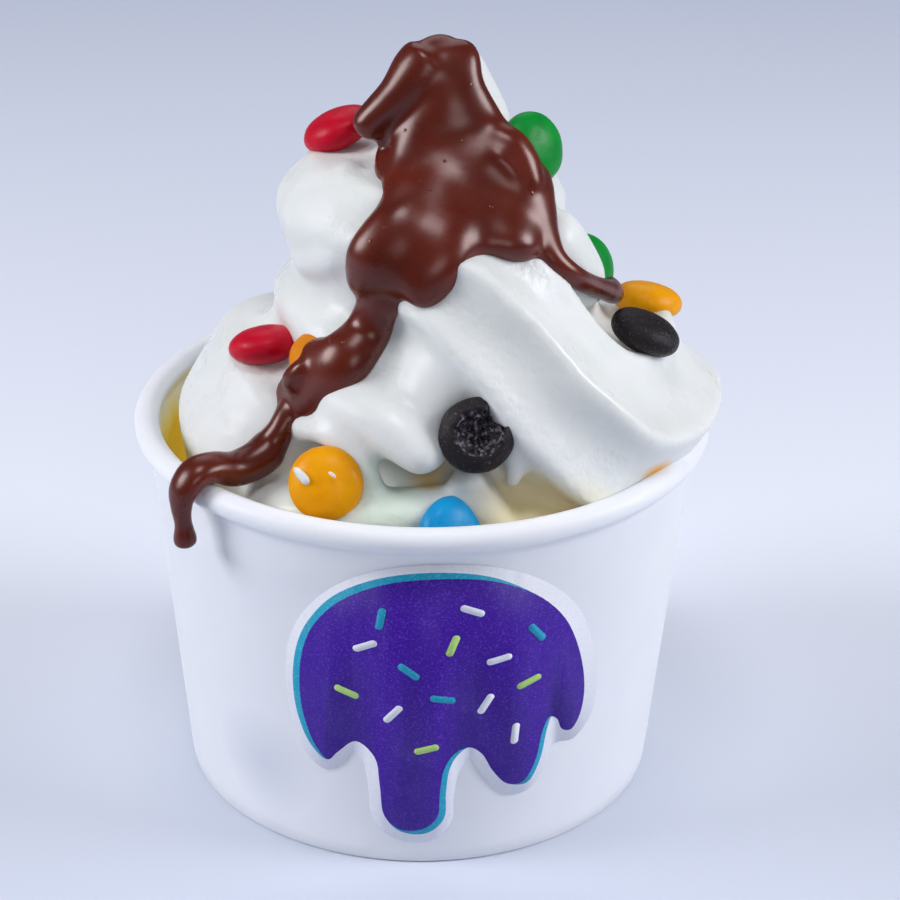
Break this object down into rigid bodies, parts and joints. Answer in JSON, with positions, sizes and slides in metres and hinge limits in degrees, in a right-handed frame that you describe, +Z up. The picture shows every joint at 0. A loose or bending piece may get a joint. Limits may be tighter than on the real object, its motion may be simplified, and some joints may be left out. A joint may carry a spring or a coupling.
{
  "type": "frozen yogurt cup",
  "caption": "Paper cup of soft frozen yogurt piped in ribbed swirls to a peak, with hardened chocolate sauce and sugar-coated lentils.",
  "frame": {"origin": "centre of the cup's foot on the table", "axes": "+Z up along the cup's axis, -Y the front that carries the label, +X to the right seen from the front"},
  "size_m": [0.0998, 0.098, 0.1306],
  "materials": {
    "cup_paper": "satin",
    "label_print": "satin",
    "yogurt": "satin",
    "chocolate": "gloss",
    "candy_red": "satin",
    "candy_orange": "satin",
    "candy_yellow": "satin",
    "candy_blue": "satin",
    "candy_green": "satin",
    "candy_brown": "satin"
  },
  "bodies": {
    "root": {"paper_cup": "cup_paper", "cup_label": "label_print", "frozen_yogurt": "yogurt", "chocolate_sauce": "chocolate", "candy_red_upper": "candy_red", "candy_red_lower": "candy_red", "candy_orange": "candy_orange", "candy_yellow_front": "candy_yellow", "candy_yellow_right": "candy_yellow", "candy_blue": "candy_blue", "candy_cracked": "candy_brown", "candy_brown": "candy_brown", "candy_green_upper": "candy_green", "candy_green_lower": "candy_green"}
  },
  "joints": []
}
